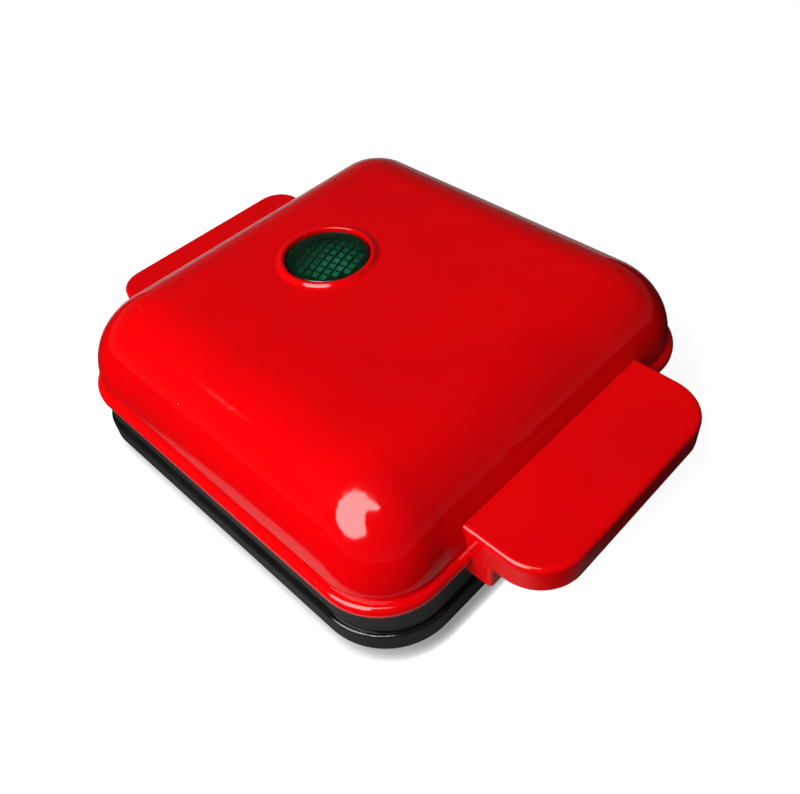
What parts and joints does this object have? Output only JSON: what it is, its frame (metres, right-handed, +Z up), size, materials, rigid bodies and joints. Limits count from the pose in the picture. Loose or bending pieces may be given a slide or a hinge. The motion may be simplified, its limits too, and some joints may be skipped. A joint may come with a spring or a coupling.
{
  "type": "mini waffle maker",
  "caption": "Small hinged waffle maker: domed rounded-square lid with lamp and flat front handle over an inset base, studded plates inside.",
  "frame": {"origin": "on the surface it stands on, under the middle of the body, midway between the tips of the front handle and the rear hinge cover", "axes": "+X to the right seen from the front handle, +Y from the front handle to the rear hinge, +Z up"},
  "size_m": [0.1324, 0.177, 0.0626],
  "materials": {
    "red_shell": "high-gloss moulded red",
    "black_shell": "gloss black moulding",
    "black_frame": "satin black heat-resistant moulding",
    "green_lens": "clear green plastic with prisms inside",
    "lamp_glass": "clear lamp",
    "nonstick_plate": "cast aluminium with black non-stick coating",
    "element_steel": "drawn steel tube, heat-toned",
    "reflector_sheet": "bright pressed sheet",
    "thermostat_body": "unglazed",
    "fuse_body": "plain drawn case",
    "terminal_ceramic": "unglazed",
    "black_rubber": "matt",
    "bright_steel": "zinc-plated"
  },
  "bodies": {
    "base": {"base_shell": "black_shell", "bottom_cover": "black_frame", "lower_waffle_plate": "nonstick_plate", "lower_heating_element": "element_steel", "lower_reflector": "reflector_sheet", "thermostat": "thermostat_body", "thermal_fuse": "fuse_body", "fuse_clip": "reflector_sheet", "terminal_block": "terminal_ceramic", "cord_bushing": "black_rubber", "hinge_pin": "bright_steel", "foot_front_left": "black_rubber", "foot_front_right": "black_rubber", "foot_rear_left": "black_rubber", "foot_rear_right": "black_rubber", "lower_plate_screws": "bright_steel", "bottom_cover_screws": "bright_steel"},
    "lid": {"lid_cover": "red_shell", "front_handle": "red_shell", "rear_hinge_cover": "red_shell", "lid_frame": "black_frame", "indicator_lens": "green_lens", "lamp_holder": "black_frame", "indicator_lamp": "lamp_glass", "upper_waffle_plate": "nonstick_plate", "upper_heating_element": "element_steel", "upper_reflector": "reflector_sheet", "upper_plate_screws": "bright_steel", "lid_frame_screws": "bright_steel", "handle_screws": "bright_steel", "hinge_cover_screws": "bright_steel", "lamp_holder_screws": "bright_steel"}
  },
  "joints": [
    {"name": "lid_hinge", "type": "hinge", "parent": "base", "child": "lid", "pos_m": [0, 0.076, 0.0265], "axis": [-1, 0, 0], "range_deg": [0, 95]}
  ]
}
